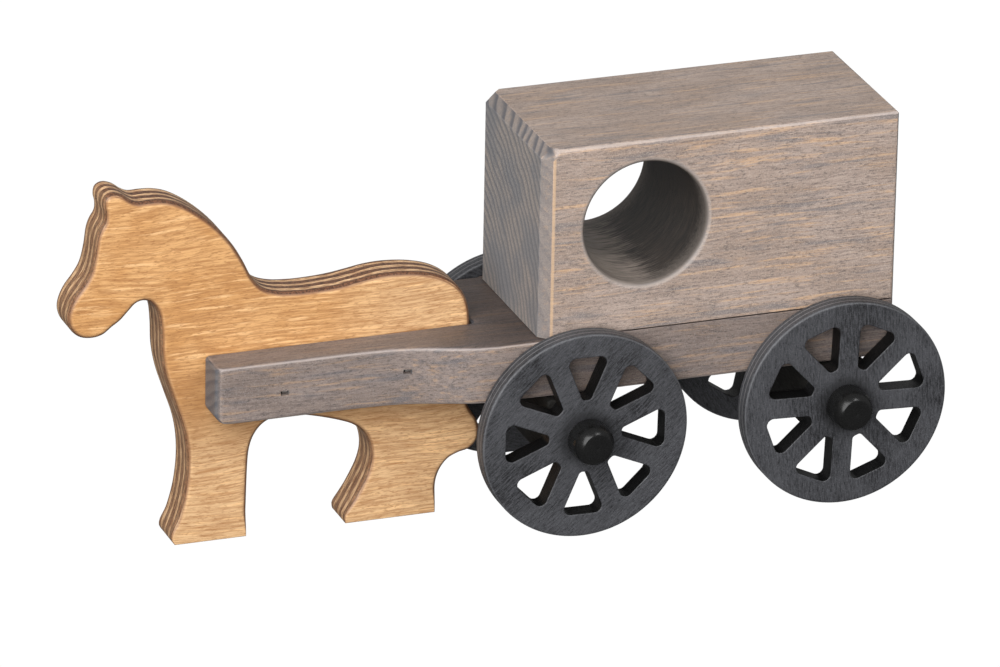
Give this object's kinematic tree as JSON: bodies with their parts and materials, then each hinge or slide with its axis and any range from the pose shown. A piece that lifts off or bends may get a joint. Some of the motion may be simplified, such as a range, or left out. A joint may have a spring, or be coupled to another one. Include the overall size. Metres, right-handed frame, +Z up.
{
  "type": "toy horse and buggy",
  "caption": "Wooden push toy: a plywood horse held between two shafts pulls a covered block buggy with a round through-window on spoked wheels.",
  "frame": {"origin": "on the ground, under the middle of the toy's bounding box", "axes": "+X forward, towards the horse's nose; +Y to the horse's left; +Z up"},
  "size_m": [0.2638, 0.092, 0.1194],
  "materials": {
    "birch_plywood": "satin honey-toned stain on birch plywood, with darker ply lines round its routed edges",
    "grey_stained_wood": "satin grey-brown stain on solid wood, with the grain showing through",
    "dark_stained_wood": "matt near-black stain",
    "black_wheel": "satin black stain on quarter-inch plywood, with fine grain and ply lines at the rim",
    "black_cap": "semi-gloss black finish on a turned cap",
    "axle_dowel": "black-stained dowel, hidden but for the narrow gaps beside the hub caps, which look black",
    "bare_steel": "bare steel brads and screws"
  },
  "bodies": {
    "root": {"horse": "birch_plywood", "chassis_board": "grey_stained_wood", "cabin": "grey_stained_wood", "front_axle_block": "dark_stained_wood", "rear_axle_block": "dark_stained_wood", "front_axle": "axle_dowel", "rear_axle": "axle_dowel", "hub_cap_front_left": "black_cap", "hub_cap_front_right": "black_cap", "hub_cap_rear_left": "black_cap", "hub_cap_rear_right": "black_cap", "shaft_brad_front_left": "bare_steel", "shaft_brad_front_right": "bare_steel", "shaft_brad_rear_left": "bare_steel", "shaft_brad_rear_right": "bare_steel", "block_brad_front_left": "bare_steel", "block_brad_front_right": "bare_steel", "block_brad_rear_left": "bare_steel", "block_brad_rear_right": "bare_steel", "cabin_screw_front": "bare_steel", "cabin_screw_rear": "bare_steel"},
    "front_left_wheel": {"wheel_front_left": "black_wheel"},
    "front_right_wheel": {"wheel_front_right": "black_wheel"},
    "rear_left_wheel": {"wheel_rear_left": "black_wheel"},
    "rear_right_wheel": {"wheel_rear_right": "black_wheel"}
  },
  "joints": [
    {"name": "front_left_spin", "type": "hinge", "parent": "root", "child": "front_left_wheel", "pos_m": [-0.01787, 0.03255, 0.032], "axis": [0, 1, 0], "continuous": true},
    {"name": "front_right_spin", "type": "hinge", "parent": "root", "child": "front_right_wheel", "pos_m": [-0.01787, -0.03255, 0.032], "axis": [0, 1, 0], "continuous": true},
    {"name": "rear_left_spin", "type": "hinge", "parent": "root", "child": "rear_left_wheel", "pos_m": [-0.09987, 0.03255, 0.032], "axis": [0, 1, 0], "continuous": true},
    {"name": "rear_right_spin", "type": "hinge", "parent": "root", "child": "rear_right_wheel", "pos_m": [-0.09987, -0.03255, 0.032], "axis": [0, 1, 0], "continuous": true}
  ]
}
